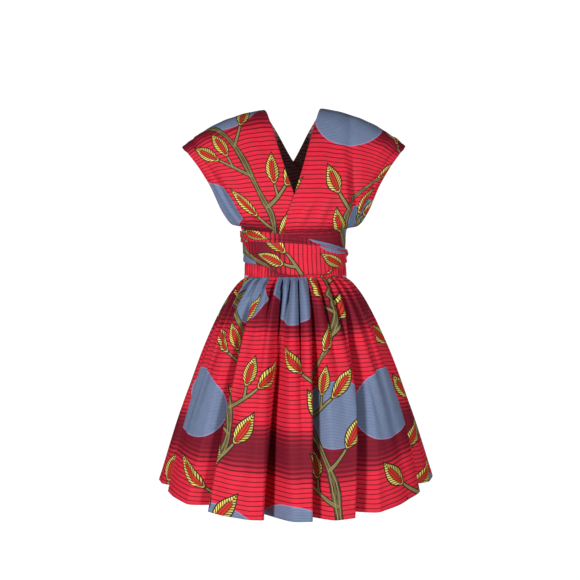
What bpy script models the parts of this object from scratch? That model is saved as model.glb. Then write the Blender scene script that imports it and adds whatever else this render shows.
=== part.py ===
"""Knee-length wrap dress in wax-printed cotton, worn shape with no wearer.

Two long sashes start at the waistband, cover the bust, go over the shoulders, cross behind and
wind round the waist. A full gathered skirt hangs from the waistband. Metres, +Z up, front to -Y.
The origin lies midway between the two shoulder crests, where a wearer holds the dress up.
"""

from collections import namedtuple

import bpy
import numpy as np

# Driving sizes in metres
SEAM_Z = -0.402
CLOTH = 0.0015
SEAM_GAP = 0.0003
LEFT_SASH_LIFT = 0.0024
LOWER_WRAP_LIFT = 0.0046
UPPER_WRAP_LIFT = 0.0070
SHOULDER_LEAN = -0.007

HEM_HALF_WIDTH = 0.326
HEM_FRONT_DEPTH = 0.285
HEM_BACK_DEPTH = 0.270
HEM_FRONT_Z = -0.926
HEM_SIDE_Z = -0.874
HEM_BACK_Z = -0.915
HEM_TILT = 0.007
HEM_POWER = 3
FLARE_POWER = 0.68
FOLD_SHARPNESS = 1.5
FOLD_GROWTH = 0.7
SIDE_SEAM_DEG = 0.08
HEADING = 0.006
WAIST_ALLOWANCE = 0.0066

GATHER_COUNT = 36
SHIRR_COUNT = 30
PLEAT_STEP = 0.0018
PLEAT_DROP = 0.0012
HEM_STEP = 0.0022
WRAP_TOP_LEVEL = 2.85

KNOT_HALF = (0.029, 0.016, 0.022)
KNOT_Z = -0.362
KNOT_Y = 0.1059
SOFT_CUBE_SHARE = 0.839
TAIL_LENGTH = 0.25
TAIL_WIDTH = 0.062
TAIL_TOP_SHARE = 0.40
TAIL_START_X = 0.015
TAIL_SPREAD = 0.050
TAIL_LIFT = 0.0016
TAIL_RIPPLE = 0.0028
TAIL_UNDER_KNOT = 0.0017

# Each level is one ring of the general figure. Its height runs from z_mid at the centre line to
# z_side at the side, half_width and depth are the half axes of its oval, and square is the power
# of the oval's depth curve: 1 is an ellipse, less is a fuller side for the top of the arm.
Level = namedtuple("Level", "name z_mid z_side half_width depth square")
FRONT_LEVELS = [
    Level("seam", -0.402, -0.402, 0.1165, 0.086, 1.0),
    Level("band_top", -0.357, -0.357, 0.117, 0.087, 1.0),
    Level("wrap_middle", -0.328, -0.322, 0.1195, 0.090, 1.0),
    Level("tuck", -0.300, -0.283, 0.125, 0.094, 1.0),
    Level("pouch", -0.286, -0.274, 0.159, 0.106, 1.0),
    Level("bulge", -0.255, -0.250, 0.183, 0.115, 1.0),
    Level("bust", -0.225, -0.215, 0.1985, 0.120, 0.95),
    Level("low_chest", -0.165, -0.180, 0.216, 0.108, 0.85),
    Level("chest", -0.105, -0.145, 0.2346, 0.087, 0.7),
    Level("upper_chest", -0.043, -0.112, 0.2566, 0.058, 0.55),
    Level("shoulder", -0.010, -0.098, 0.2670, 0.030, 0.5),
    Level("crest", 0.0033, -0.0926, 0.2705, -0.004, 0.5),
]
BACK_LEVELS = [
    Level("seam", -0.402, -0.402, 0.1165, 0.084, 1.0),
    Level("band_top", -0.357, -0.357, 0.117, 0.083, 1.0),
    Level("wrap_middle", -0.328, -0.322, 0.1195, 0.084, 1.0),
    Level("tuck", -0.300, -0.283, 0.125, 0.086, 1.0),
    Level("low_back", -0.280, -0.270, 0.135, 0.089, 1.0),
    Level("back", -0.250, -0.245, 0.150, 0.093, 1.0),
    Level("under_blade", -0.215, -0.215, 0.168, 0.097, 0.95),
    Level("blade", -0.165, -0.180, 0.195, 0.098, 0.85),
    Level("over_blade", -0.105, -0.145, 0.225, 0.089, 0.7),
    Level("upper_back", -0.045, -0.112, 0.253, 0.066, 0.55),
    Level("shoulder", -0.010, -0.098, 0.2670, 0.038, 0.5),
    Level("crest", 0.0033, -0.0926, 0.2705, 0.004, 0.5),
]
RIDGE_POWER = 2.5

# The sash from the waistband over its own shoulder to the other side of the waist. Angles are
# from the centre line, positive on the sash's own side. The first rows run up the front.
Stretch = namedtuple("Stretch", "front in_deg in_level out_deg out_level")
SASH_ROWS = [
    Stretch(1, -14, 1.01, 80, 1.01),
    Stretch(1, -13, 2, 79, 2),
    Stretch(1, -11, 3, 77, 3),
    Stretch(1, -8, 4, 70, 4),
    Stretch(1, -5.2, 5, 67, 5),
    Stretch(1, -1.2, 6, 68, 6),
    Stretch(1, 4.2, 7, 70, 7),
    Stretch(1, 8.2, 8, 74, 8),
    Stretch(1, 11.5, 9, 77, 9),
    Stretch(1, 13.2, 10, 80, 10),
    Stretch(1, 14.4, 11, 81, 11),
    Stretch(0, 13, 10, 80, 10),
    Stretch(0, 9.2, 9.1, 77, 9.1),
    Stretch(0, 3.8, 8.3, 72, 8.2),
    Stretch(0, -3.2, 7.6, 58, 7.0),
    Stretch(0, -17, 6.6, 40, 5.6),
    Stretch(0, -39, 5.4, 18, 4.1),
    Stretch(0, -64, 4.1, -12, 2.5),
    Stretch(0, -82, 3.3, -50, 1.6),
    Stretch(0, -92, 3.0, -92, 1.1),
]

# Where a sash winds round the waist: the heights of its top edge, of the pleat along it and of its
# bottom edge at each angle from the front centre line, positive towards +X.
Turn = namedtuple("Turn", "deg top_z pleat_z bottom_z")
UPPER_TURNS = [
    Turn(-100, -0.2885, -0.303, -0.316),
    Turn(-60, -0.291, -0.306, -0.3175),
    Turn(-25, -0.2995, -0.311, -0.3205),
    Turn(0, -0.3075, -0.316, -0.3235),
    Turn(25, -0.3175, -0.323, -0.3275),
    Turn(60, -0.331, -0.3355, -0.339),
    Turn(90, -0.337, -0.342, -0.346),
    Turn(120, -0.331, -0.344, -0.358),
    Turn(150, -0.333, -0.353, -0.372),
    Turn(172, -0.345, -0.361, -0.377),
]
LOWER_TURNS = [
    Turn(100, -0.341, -0.352, -0.364),
    Turn(78, -0.339, -0.351, -0.367),
    Turn(44.5, -0.328, -0.349, -0.383),
    Turn(33, -0.324, -0.3485, -0.3965),
    Turn(-5, -0.312, -0.3485, -0.3985),
    Turn(-19, -0.310, -0.348, -0.394),
    Turn(-34, -0.308, -0.347, -0.377),
    Turn(-52, -0.307, -0.346, -0.372),
    Turn(-90, -0.305, -0.3445, -0.363),
    Turn(-120, -0.314, -0.345, -0.368),
    Turn(-150, -0.326, -0.351, -0.374),
    Turn(-172, -0.345, -0.361, -0.377),
]

# Deep folds of the skirt. Each is a valley that runs from top_deg under the gathers to hem_deg,
# and slide moves its floor sideways under the neighbouring crest.
Fold = namedtuple("Fold", "name top_deg hem_deg width_deg depth slide start")
SKIRT_FOLDS = [
    Fold("side_left", -79, -71, 7, 0.046, 0.026, 0.10),
    Fold("left", -41, -42, 6.5, 0.066, 0.034, 0.12),
    Fold("centre_left", -11, -6.5, 6, 0.058, -0.030, 0.06),
    Fold("centre", 14, 10.5, 4.8, 0.050, -0.026, 0.06),
    Fold("centre_right", 47, 28.5, 6.5, 0.072, -0.036, 0.10),
    Fold("right", 78, 66, 7, 0.048, -0.026, 0.12),
    Fold("back_a", 100, 102, 7, 0.042, -0.018, 0.10),
    Fold("back_b", 123, 124, 8, 0.058, -0.026, 0.08),
    Fold("back_c", 146, 145, 7, 0.046, 0.020, 0.10),
    Fold("back_d", 169, 168, 6.5, 0.042, -0.018, 0.08),
    Fold("back_e", 191, 190, 7, 0.050, 0.022, 0.08),
    Fold("back_f", 213, 214, 7, 0.046, 0.020, 0.10),
    Fold("back_g", 236, 237, 8, 0.058, 0.026, 0.08),
    Fold("back_h", 257, 258, 7, 0.042, 0.018, 0.12),
]

# How deep the gathers under the waistband are at each share of the skirt's height.
Gather = namedtuple("Gather", "share depth")
GATHER_DEPTHS = [
    Gather(0.0, 0.0012),
    Gather(0.04, 0.0045),
    Gather(0.10, 0.0075),
    Gather(0.20, 0.0060),
    Gather(0.34, 0.0030),
    Gather(0.50, 0.0010),
    Gather(0.70, 0.0),
    Gather(1.0, 0.0),
]

# How far the waistband stands off the figure at each level, and how deep its shirring is there.
Puff = namedtuple("Puff", "level puff ripple")
BAND_PUFFS = [
    Puff(0.0, 0.0042, 0.0008),
    Puff(0.33, 0.0016, 0.0022),
    Puff(0.66, 0.0008, 0.0020),
    Puff(1.0, 0.0002, 0.0012),
]

# Mesh density of the solids
SKIRT_COLUMNS = 72
SKIRT_SHARES = [0.0, HEADING, 0.03, 0.08, 0.15, 0.24, 0.36, 0.50, 0.64, 0.78, 0.90, 1.0]
BAND_COLUMNS = 90
SASH_ALONG = 39
SASH_ACROSS = 11
WRAP_ROWS = 4
WRAP_COLUMNS = 49

PRINT_RED = (0.72, 0.03, 0.06, 1.0)


def smooth_at(values, position):
    """Values at fractional row positions, on cubic curves through the rows."""
    rows = np.asarray(values, float)
    slopes = np.gradient(rows, axis=0)
    first = np.clip(np.floor(position).astype(int), 0, len(rows) - 2)
    share = (position - first)[..., None]
    square, cube = share**2, share**3
    return (
        (2 * cube - 3 * square + 1) * rows[first]
        + (cube - 2 * square + share) * slopes[first]
        + (3 * square - 2 * cube) * rows[first + 1]
        + (cube - square) * slopes[first + 1]
    )


def between_rows(rows, key, at):
    """Other columns of a table read at values of its key column, on straight lines."""
    keys = np.array([getattr(row, key) for row in rows], float)
    order = np.argsort(keys)
    columns = [name for name in rows[0]._fields if name != key]
    return [np.interp(at, keys[order], np.array([getattr(r, c) for r in rows])[order]) for c in columns]


def lean(points):
    """Moves the upper body a little sideways, more towards the shoulders."""
    share = np.clip((points[..., 2] - SEAM_Z) / -SEAM_Z, 0, 1.2)
    moved = points.copy()
    moved[..., 0] += SHOULDER_LEAN * share
    return moved


def figure_points(front, level, angle):
    """Points of the general figure. angle is in degrees from the centre line of that side."""
    tables = [[row[1:] for row in table] for table in (BACK_LEVELS, FRONT_LEVELS)]
    back_row, front_row = (smooth_at(table, level) for table in tables)
    row = np.where(np.asarray(front)[..., None] > 0.5, front_row, back_row)
    z_mid, z_side, half_width, depth, square = np.moveaxis(row, -1, 0)
    turn = np.radians(angle)
    y_sign = np.where(np.asarray(front) > 0.5, -1.0, 1.0)
    return np.stack(
        [
            half_width * np.sin(turn),
            y_sign * depth * np.abs(np.cos(turn)) ** square,
            z_mid + (z_side - z_mid) * np.abs(np.sin(turn)) ** RIDGE_POWER,
        ],
        axis=-1,
    )


def level_at_height(front, angle, height):
    """The level of the lower figure whose ring passes through this height at this angle."""
    rings = np.arange(5)
    levels = np.empty(len(height))
    for index, (is_front, turn, z) in enumerate(zip(front, angle, height)):
        ring_z = figure_points(np.full(5, is_front), rings.astype(float), np.full(5, turn))[:, 2]
        levels[index] = np.interp(z, ring_z, rings)
    return levels


def outward(points):
    """Unit normals of a grid of points, by central differences."""
    along = np.gradient(points, axis=0)
    across = np.gradient(points, axis=1)
    normal = np.cross(across, along)
    return normal / np.maximum(np.linalg.norm(normal, axis=-1, keepdims=True), 1e-9)


def lifted(points, lift):
    """The same grid moved out along its normals."""
    return points + outward(points) * np.asarray(lift)[..., None]


def sash_points(side, lift, along, across):
    """The sash's grid on the figure. side is 1 for the wearer's left, which is +X, or -1."""
    rows = np.array([[r.front, r.in_deg, r.in_level, r.out_deg, r.out_level] for r in SASH_ROWS], float)
    position = np.linspace(0, len(rows) - 1, along)
    read = smooth_at(rows[:, 1:], position)
    crest = next(i for i, r in enumerate(SASH_ROWS) if not r.front) - 1
    front = np.repeat((position <= crest)[:, None], across, axis=1)
    width = np.linspace(0, 1, across)
    angle = read[:, 0:1] * (1 - width) + read[:, 2:3] * width
    level = np.minimum(read[:, 1:2] * (1 - width) + read[:, 3:4] * width, len(FRONT_LEVELS) - 1)
    points = figure_points(front, level, angle)
    points = lifted(points, np.full(points.shape[:2], lift))
    points[..., 0] *= side
    return lean(points if side > 0 else points[:, ::-1])


def turn_points(turns, lift, columns):
    """The grid of a stretch of sash round the waist. The cloth above the pleat stands over the rest."""
    degrees = np.linspace(turns[0].deg, turns[-1].deg, columns)
    top, pleat, bottom = between_rows(turns, "deg", degrees)
    above, below = np.linspace(0, 1, WRAP_ROWS)[None, :], np.linspace(0, 1, WRAP_ROWS)[None, :]
    upper = top[:, None] * (1 - above) + pleat[:, None] * above
    start = pleat[:, None] - PLEAT_DROP
    height = np.hstack([upper, start * (1 - below) + bottom[:, None] * below])
    step = np.concatenate([PLEAT_STEP * above[0] ** 2, HEM_STEP * below[0]])
    full = np.repeat(degrees[:, None], height.shape[1], axis=1)
    front = np.abs(full) <= 90
    own = np.where(front, full, np.sign(full) * 180 - full)
    level = level_at_height(front.ravel(), own.ravel(), height.ravel()).reshape(full.shape)
    points = figure_points(front, np.minimum(level, WRAP_TOP_LEVEL), own)
    points[..., 2] = height
    if degrees[-1] < degrees[0]:
        points, step = points[:, ::-1], step[::-1]
    return lean(lifted(points, lift + np.repeat(step[None, :], columns, axis=0)))


def skirt_points(degrees, shares):
    """The skirt's outer side: an ellipse that flares to the hem, cut by folds and gathers."""
    turn = np.radians(degrees)[None, :]
    share = np.asarray(shares, float)[:, None]
    is_front = np.cos(turn) > 0
    flare = np.clip((share - HEADING) / (1 - HEADING), 0, 1) ** FLARE_POWER
    seam = FRONT_LEVELS[0]
    waist_depth = np.where(is_front, seam.depth, BACK_LEVELS[0].depth) + WAIST_ALLOWANCE
    hem_depth = np.where(is_front, HEM_FRONT_DEPTH, HEM_BACK_DEPTH)
    half_width = seam.half_width + WAIST_ALLOWANCE
    half_width = half_width + (HEM_HALF_WIDTH - half_width) * flare
    depth = waist_depth + (hem_depth - waist_depth) * flare
    centre_hem = np.where(is_front, HEM_FRONT_Z, HEM_BACK_Z)
    side_hem = HEM_SIDE_Z + HEM_TILT * np.sin(turn)
    hem_z = centre_hem + (side_hem - centre_hem) * np.abs(np.sin(turn)) ** HEM_POWER
    start_z = SEAM_Z - SEAM_GAP
    z = start_z + (hem_z - start_z) * share
    out_x, out_y = depth * np.sin(turn), -half_width * np.cos(turn)
    size = np.hypot(out_x, out_y)
    out_x, out_y = out_x / size, out_y / size
    inward, slide = fold_moves(degrees, share)
    inward = inward + gather_moves(turn, share)
    x = half_width * np.sin(turn) - out_x * inward - out_y * slide
    y = -depth * np.cos(turn) - out_y * inward + out_x * slide
    return np.stack([x, y, z], axis=-1)


def fold_moves(degrees, share):
    """How far the deep folds move the cloth in, and sideways towards +angle."""
    inward = np.zeros((len(share), len(degrees)))
    slide = np.zeros_like(inward)
    for fold in SKIRT_FOLDS:
        centre = fold.top_deg + (fold.hem_deg - fold.top_deg) * share
        off = (degrees[None, :] - centre + 180) % 360 - 180
        reach = np.clip(off / fold.width_deg, -1, 1)
        valley = (0.5 * (1 + np.cos(np.pi * reach))) ** FOLD_SHARPNESS
        grown = np.clip((share - fold.start) / (1 - fold.start), 0, 1) ** FOLD_GROWTH
        inward += fold.depth * grown * valley
        slide += fold.slide * grown * valley
    return inward, slide


def gather_moves(turn, share):
    """How far the small gathers under the waistband move the cloth in."""
    (depth,) = between_rows(GATHER_DEPTHS, "share", share)
    wander = 1.1 * np.sin(3 * turn + 0.5) + 0.7 * np.sin(7 * turn + 1.3)
    wave = 0.5 * (1 - np.cos(GATHER_COUNT * turn + wander))
    uneven = 0.75 + 0.25 * np.sin(5 * turn + 2.0)
    return depth * wave * uneven


def band_points(columns):
    """The elastic waistband: a shirred ring on the figure that puffs out below the wraps."""
    degrees = np.linspace(-180, 180, columns, endpoint=False)
    levels = np.array([0.99, 0.66, 0.33, 0.0])
    full = np.repeat(degrees[:, None], len(levels), axis=1)
    front = np.abs(full) <= 90
    own = np.where(front, full, np.sign(full) * 180 - full)
    own = np.where(full == -180, 0.0, own)
    points = figure_points(front, np.repeat([levels], columns, axis=0), own)
    turn = np.radians(full)
    centre = points * [0, 0, 1]
    puff, ripple = between_rows(BAND_PUFFS, "level", levels)
    wave = 0.5 * (1 - np.cos(SHIRR_COUNT * turn + 0.6 * np.sin(4 * turn)))
    direction = (points - centre) / np.linalg.norm(points - centre, axis=-1, keepdims=True)
    return lean(points + direction * (puff + ripple * wave)[..., None])


def tail_points(side, columns, rows):
    """One loose end of the sash, hanging from the knot over the gathers behind."""
    along = np.linspace(0, 1, rows)[:, None]
    across = np.linspace(-0.5, 0.5, columns)[None, :]
    centre = side * (TAIL_START_X + TAIL_SPREAD * along)
    width = TAIL_WIDTH * (TAIL_TOP_SHARE + (1 - TAIL_TOP_SHARE) * np.clip(along * 2.2, 0, 1))
    x = centre + width * across
    knot_curve = np.sqrt(np.clip(1 - (x[0:1] / KNOT_HALF[0]) ** 2, 0.05, 1))
    under_knot = KNOT_HALF[2] * knot_curve + TAIL_UNDER_KNOT
    z = KNOT_Z - under_knot * (1 - along) - (TAIL_LENGTH + KNOT_HALF[2]) * along
    share = np.clip((SEAM_Z - z) / (SEAM_Z - HEM_BACK_Z), 0, 1)
    flare = share**FLARE_POWER
    half_width, depth = (BACK_LEVELS[0][i] + WAIST_ALLOWANCE for i in (3, 4))
    half_width = half_width + (HEM_HALF_WIDTH - half_width) * flare
    depth = depth + (HEM_BACK_DEPTH - depth) * flare
    on_skirt = depth * np.sqrt(1 - (x / half_width) ** 2) + TAIL_LIFT
    ripple = TAIL_RIPPLE * (1 + np.cos(np.pi * 3 * (across + 0.5))) * np.clip(along * 4, 0, 1)
    off_knot = np.clip(1 - along / 0.2, 0, 1) ** 1.5
    y = on_skirt + ripple + (KNOT_Y - on_skirt[0:1]) * off_knot
    grid = np.stack([x, y, z + 0 * x], axis=-1)
    return grid[:, ::-1]


def add_material(name, colour):
    material = bpy.data.materials.new(name)
    material.use_nodes = True
    shader = material.node_tree.nodes["Principled BSDF"]
    shader.inputs["Base Color"].default_value = colour
    shader.inputs["Roughness"].default_value = 0.85
    shader.inputs["Metallic"].default_value = 0.0
    return material


def add_cloth(name, points, collection, closed=False, thickness=CLOTH):
    """A grid of points as one cloth wall, thickened outwards."""
    rows, columns = points.shape[:2]
    faces = []
    for row in range(rows if closed else rows - 1):
        below = (row + 1) % rows
        for column in range(columns - 1):
            faces.append(
                (
                    row * columns + column,
                    row * columns + column + 1,
                    below * columns + column + 1,
                    below * columns + column,
                )
            )
    mesh = bpy.data.meshes.new(name)
    mesh.from_pydata(points.reshape(-1, 3).tolist(), [], faces)
    mesh.shade_smooth()
    cloth = bpy.data.objects.new(name, mesh)
    collection.objects.link(cloth)
    wall = cloth.modifiers.new("Wall", "SOLIDIFY")
    wall.thickness = thickness
    wall.offset = 1.0
    mesh.materials.append(add_material(name, PRINT_RED))
    return cloth


def add_skirt(collection):
    for name, start in (("skirt_front", -90.0), ("skirt_back", 90.0)):
        degrees = np.linspace(start + SIDE_SEAM_DEG, start + 180 - SIDE_SEAM_DEG, SKIRT_COLUMNS + 1)
        points = skirt_points(degrees, SKIRT_SHARES)
        add_cloth(name, points[::-1], collection)


def add_bodice(collection):
    add_cloth("sash_right", sash_points(-1, 0.0, SASH_ALONG, SASH_ACROSS), collection)
    add_cloth("sash_left", sash_points(1, LEFT_SASH_LIFT, SASH_ALONG, SASH_ACROSS), collection)


def add_waist(collection):
    add_cloth("waistband", band_points(BAND_COLUMNS), collection, closed=True)
    add_cloth("wrap_lower", turn_points(LOWER_TURNS, LOWER_WRAP_LIFT, WRAP_COLUMNS), collection)
    add_cloth("wrap_upper", turn_points(UPPER_TURNS, UPPER_WRAP_LIFT, WRAP_COLUMNS), collection)


def add_knot(collection):
    """The tie behind: a soft cage rounded by subdivision, and two loose ends under it."""
    bpy.ops.mesh.primitive_cube_add(size=2.0)
    knot = bpy.context.active_object
    knot.name = "tie_knot"
    knot.data.name = "tie_knot"
    scale = np.array(KNOT_HALF) / SOFT_CUBE_SHARE
    for vertex in knot.data.vertices:
        vertex.co = [c * s for c, s in zip(vertex.co, scale)]
        vertex.co.y += KNOT_Y
        vertex.co.z += KNOT_Z
    soft = knot.modifiers.new("Soft", "SUBSURF")
    soft.levels = 2
    soft.render_levels = 2
    knot.data.materials.append(add_material("tie_knot", PRINT_RED))
    for owner in list(knot.users_collection):
        owner.objects.unlink(knot)
    collection.objects.link(knot)
    for name, side in (("tie_end_left", 1), ("tie_end_right", -1)):
        add_cloth(name, tail_points(side, 7, 12)[::-1], collection)


def main():
    for old in list(bpy.data.objects):
        bpy.data.objects.remove(old)
    dress = bpy.data.collections.new("wrap_dress")
    bpy.context.scene.collection.children.link(dress)
    add_skirt(dress)
    add_bodice(dress)
    add_waist(dress)
    add_knot(dress)


main()
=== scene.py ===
"""Knee-length wrap dress in wax-printed cotton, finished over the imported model.

Every piece of cloth is a thin sheet on the form of its own solid, with the creases that its
gathering, tucking and hanging give it. Metres, +Z up, front to -Y, origin between the shoulders.
"""

from __future__ import annotations

import logging
import math
from dataclasses import dataclass, field
from enum import Enum
from typing import NamedTuple, Sequence

import bpy
import numpy as np
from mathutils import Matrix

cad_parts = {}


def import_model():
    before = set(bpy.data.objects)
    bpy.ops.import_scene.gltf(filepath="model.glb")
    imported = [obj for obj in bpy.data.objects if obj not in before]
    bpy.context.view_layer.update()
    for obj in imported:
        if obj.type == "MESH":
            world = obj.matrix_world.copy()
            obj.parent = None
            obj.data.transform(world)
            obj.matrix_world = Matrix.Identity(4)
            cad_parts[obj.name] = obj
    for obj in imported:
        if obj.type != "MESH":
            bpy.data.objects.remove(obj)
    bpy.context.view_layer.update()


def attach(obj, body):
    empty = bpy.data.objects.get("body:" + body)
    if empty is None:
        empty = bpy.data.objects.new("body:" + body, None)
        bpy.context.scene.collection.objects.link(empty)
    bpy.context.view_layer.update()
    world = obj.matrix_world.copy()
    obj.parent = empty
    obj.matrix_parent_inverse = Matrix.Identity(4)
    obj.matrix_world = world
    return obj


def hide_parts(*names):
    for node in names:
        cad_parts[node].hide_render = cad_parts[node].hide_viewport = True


LOG = logging.getLogger("wrap_dress")

SEAM_Z = -0.402
SEAM_GAP = 0.0003
SHEET = 0.0007
SHEET_LIFT = 0.0004
SHOULDER_LEAN = -0.007
PRINT_MAP = "print"
SELVEDGE_MAP = "selvedge"
SHADER = "Principled BSDF"

Colour = tuple[float, float, float, float]


class ClothFace(Enum):
    """The two faces of the printed cotton."""

    RIGHT = "right_side"
    # The wrong side's material is duller, and darkened as painted shade for the inside of the
    # dress.
    WRONG = "wrong_side_dull_and_shade"


class Level(NamedTuple):
    """One ring of the general figure: heights at the middle and side, half axes and fullness."""

    z_mid: float
    z_side: float
    half_width: float
    depth: float
    square: float


class Stretch(NamedTuple):
    """One row of the sash: which side it is on, and where its two edges lie on the figure."""

    front: int
    in_deg: float
    in_level: float
    out_deg: float
    out_level: float


class Turn(NamedTuple):
    """A place along a sash wound round the waist: top edge, pleat and bottom edge."""

    deg: float
    top_z: float
    pleat_z: float
    bottom_z: float


class Fold(NamedTuple):
    """A deep fold of the skirt, as a valley from the gathers to the hem."""

    top_deg: float
    hem_deg: float
    width_deg: float
    depth: float
    slide: float
    start: float


class Crease(NamedTuple):
    """A soft crease of a sash between two places given as shares along and across it."""

    from_along: float
    from_across: float
    to_along: float
    to_across: float
    width: float
    height: float


class Leaf(NamedTuple):
    """One leaf of the print on its stalk.

    The stalk starts beside the stem, out metres from its middle at height v. Its length and the
    leaf's bend are shares of the leaf's length.
    """

    v: float
    out: float
    heading_deg: float
    length: float
    stalk: float
    bend: float


class Disc(NamedTuple):
    """One round of the print."""

    u: float
    v: float
    radius: float


FRONT_LEVELS = (
    Level(-0.402, -0.402, 0.1165, 0.086, 1.0),
    Level(-0.357, -0.357, 0.117, 0.087, 1.0),
    Level(-0.328, -0.322, 0.1195, 0.090, 1.0),
    Level(-0.300, -0.283, 0.125, 0.094, 1.0),
    Level(-0.286, -0.274, 0.159, 0.106, 1.0),
    Level(-0.255, -0.250, 0.183, 0.115, 1.0),
    Level(-0.225, -0.215, 0.1985, 0.120, 0.95),
    Level(-0.165, -0.180, 0.216, 0.108, 0.85),
    Level(-0.105, -0.145, 0.2346, 0.087, 0.7),
    Level(-0.043, -0.112, 0.2566, 0.058, 0.55),
    Level(-0.010, -0.098, 0.2670, 0.030, 0.5),
    Level(0.0033, -0.0926, 0.2705, -0.004, 0.5),
)
BACK_LEVELS = (
    Level(-0.402, -0.402, 0.1165, 0.084, 1.0),
    Level(-0.357, -0.357, 0.117, 0.083, 1.0),
    Level(-0.328, -0.322, 0.1195, 0.084, 1.0),
    Level(-0.300, -0.283, 0.125, 0.086, 1.0),
    Level(-0.280, -0.270, 0.135, 0.089, 1.0),
    Level(-0.250, -0.245, 0.150, 0.093, 1.0),
    Level(-0.215, -0.215, 0.168, 0.097, 0.95),
    Level(-0.165, -0.180, 0.195, 0.098, 0.85),
    Level(-0.105, -0.145, 0.225, 0.089, 0.7),
    Level(-0.045, -0.112, 0.253, 0.066, 0.55),
    Level(-0.010, -0.098, 0.2670, 0.038, 0.5),
    Level(0.0033, -0.0926, 0.2705, 0.004, 0.5),
)


def smooth_at(rows: np.ndarray, position: np.ndarray) -> np.ndarray:
    """Reads a table at fractional rows, on cubic Hermite curves with central slopes."""
    slopes = np.gradient(rows, axis=0)
    first = np.clip(np.floor(position).astype(int), 0, len(rows) - 2)
    share = (position - first)[..., None]
    square, cube = share**2, share**3
    return (
        (2 * cube - 3 * square + 1) * rows[first]
        + (cube - 2 * square + share) * slopes[first]
        + (3 * square - 2 * cube) * rows[first + 1]
        + (cube - square) * slopes[first + 1]
    )


def outward(points: np.ndarray) -> np.ndarray:
    """Unit normals of a grid: the cross product of its across and along differences."""
    normal = np.cross(np.gradient(points, axis=1), np.gradient(points, axis=0))
    return normal / np.maximum(np.linalg.norm(normal, axis=-1, keepdims=True), 1e-9)


def lifted(points: np.ndarray, lift: np.ndarray | float) -> np.ndarray:
    """Moves a grid out along its normals: p + n * lift."""
    return points + outward(points) * np.broadcast_to(lift, points.shape[:2])[..., None]


def lean(points: np.ndarray) -> np.ndarray:
    """Moves the upper body sideways: x + SHOULDER_LEAN * the share of the height above the seam."""
    moved = points.copy()
    moved[..., 0] += SHOULDER_LEAN * np.clip((points[..., 2] - SEAM_Z) / -SEAM_Z, 0, 1.2)
    return moved


def walk(points: np.ndarray, axis: int = 0) -> np.ndarray:
    """Arc length along one axis of a grid: 0, then the running sum of the steps' lengths."""
    steps = np.linalg.norm(np.diff(points, axis=axis), axis=-1)
    start = np.zeros_like(np.take(steps, [0], axis=axis))
    return np.concatenate([start, np.cumsum(steps, axis=axis)], axis=axis)


def folded_waves(turns: np.ndarray) -> np.ndarray:
    """Waves between 0 and 1: (1 - cos(turns)) / 2."""
    return 0.5 * (1 - np.cos(turns))


def bell(offset: np.ndarray, width: float | np.ndarray) -> np.ndarray:
    """A rounded bump, 1 at no offset and near 0 past the width: exp(-(offset / width)^2)."""
    return np.exp(-((offset / width) ** 2))


def own_angle(degrees: np.ndarray) -> tuple[np.ndarray, np.ndarray]:
    """Splits angles from the front centre line into a side and an angle from that side's middle."""
    front = np.abs(degrees) <= 90
    return front, np.where(front, degrees, np.sign(degrees) * 180 - degrees)


@dataclass(frozen=True)
class Figure:
    """The general figure that the worn cloth keeps: oval rings at twelve levels."""

    front_levels: tuple[Level, ...] = FRONT_LEVELS
    back_levels: tuple[Level, ...] = BACK_LEVELS
    ridge_power: float = 2.5
    lower_levels: int = 5

    def points(self, front: np.ndarray, level: np.ndarray, degrees: np.ndarray) -> np.ndarray:
        """Points of the figure.

        With a the angle, x = w sin a, y = -d |cos a|^q in front and +d |cos a|^q behind, and
        z = z_mid + (z_side - z_mid) |sin a|^ridge_power.
        """
        rows = [smooth_at(np.array(t, float), level) for t in (self.back_levels, self.front_levels)]
        row = np.where(front[..., None], rows[1], rows[0])
        z_mid, z_side, half_width, depth, square = np.moveaxis(row, -1, 0)
        turn = np.radians(degrees)
        return np.stack(
            [
                half_width * np.sin(turn),
                np.where(front, -1.0, 1.0) * depth * np.abs(np.cos(turn)) ** square,
                z_mid + (z_side - z_mid) * np.abs(np.sin(turn)) ** self.ridge_power,
            ],
            axis=-1,
        )

    def level_at(self, front: np.ndarray, degrees: np.ndarray, height: np.ndarray) -> np.ndarray:
        """The level of the lower body whose ring passes through a height at an angle.

        Between two rings whose heights there are a and b, the share is (height - a) / (b - a).
        """
        rings = [
            self.points(front, np.full(height.shape, float(k)), degrees)[..., 2]
            for k in range(self.lower_levels)
        ]
        level = np.zeros(height.shape)
        for index, (low, high) in enumerate(zip(rings, rings[1:])):
            share = (height - low) / (high - low)
            level = np.where(height >= low, index + np.clip(share, 0, 1), level)
        return level


def set_inputs(node: bpy.types.Node, values: dict) -> bpy.types.Node:
    """Sets or links a node's inputs, each to a number, a colour, a signal or a socket."""
    for slot, value in values.items():
        value = value.socket if isinstance(value, Signal) else value
        if isinstance(value, bpy.types.NodeSocket):
            node.id_data.links.new(value, node.inputs[slot])
        else:
            node.inputs[slot].default_value = value
    return node


def add_node(tree: bpy.types.NodeTree, kind: str, values: dict) -> bpy.types.Node:
    """Adds a shader node of a kind, and sets its inputs."""
    return set_inputs(tree.nodes.new(f"ShaderNode{kind}"), values)


def new_material(name: str) -> tuple[bpy.types.Material, bpy.types.NodeTree]:
    """A material made of nodes, and its node tree."""
    material = bpy.data.materials.new(name)
    material.use_nodes = True
    return material, material.node_tree


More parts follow.
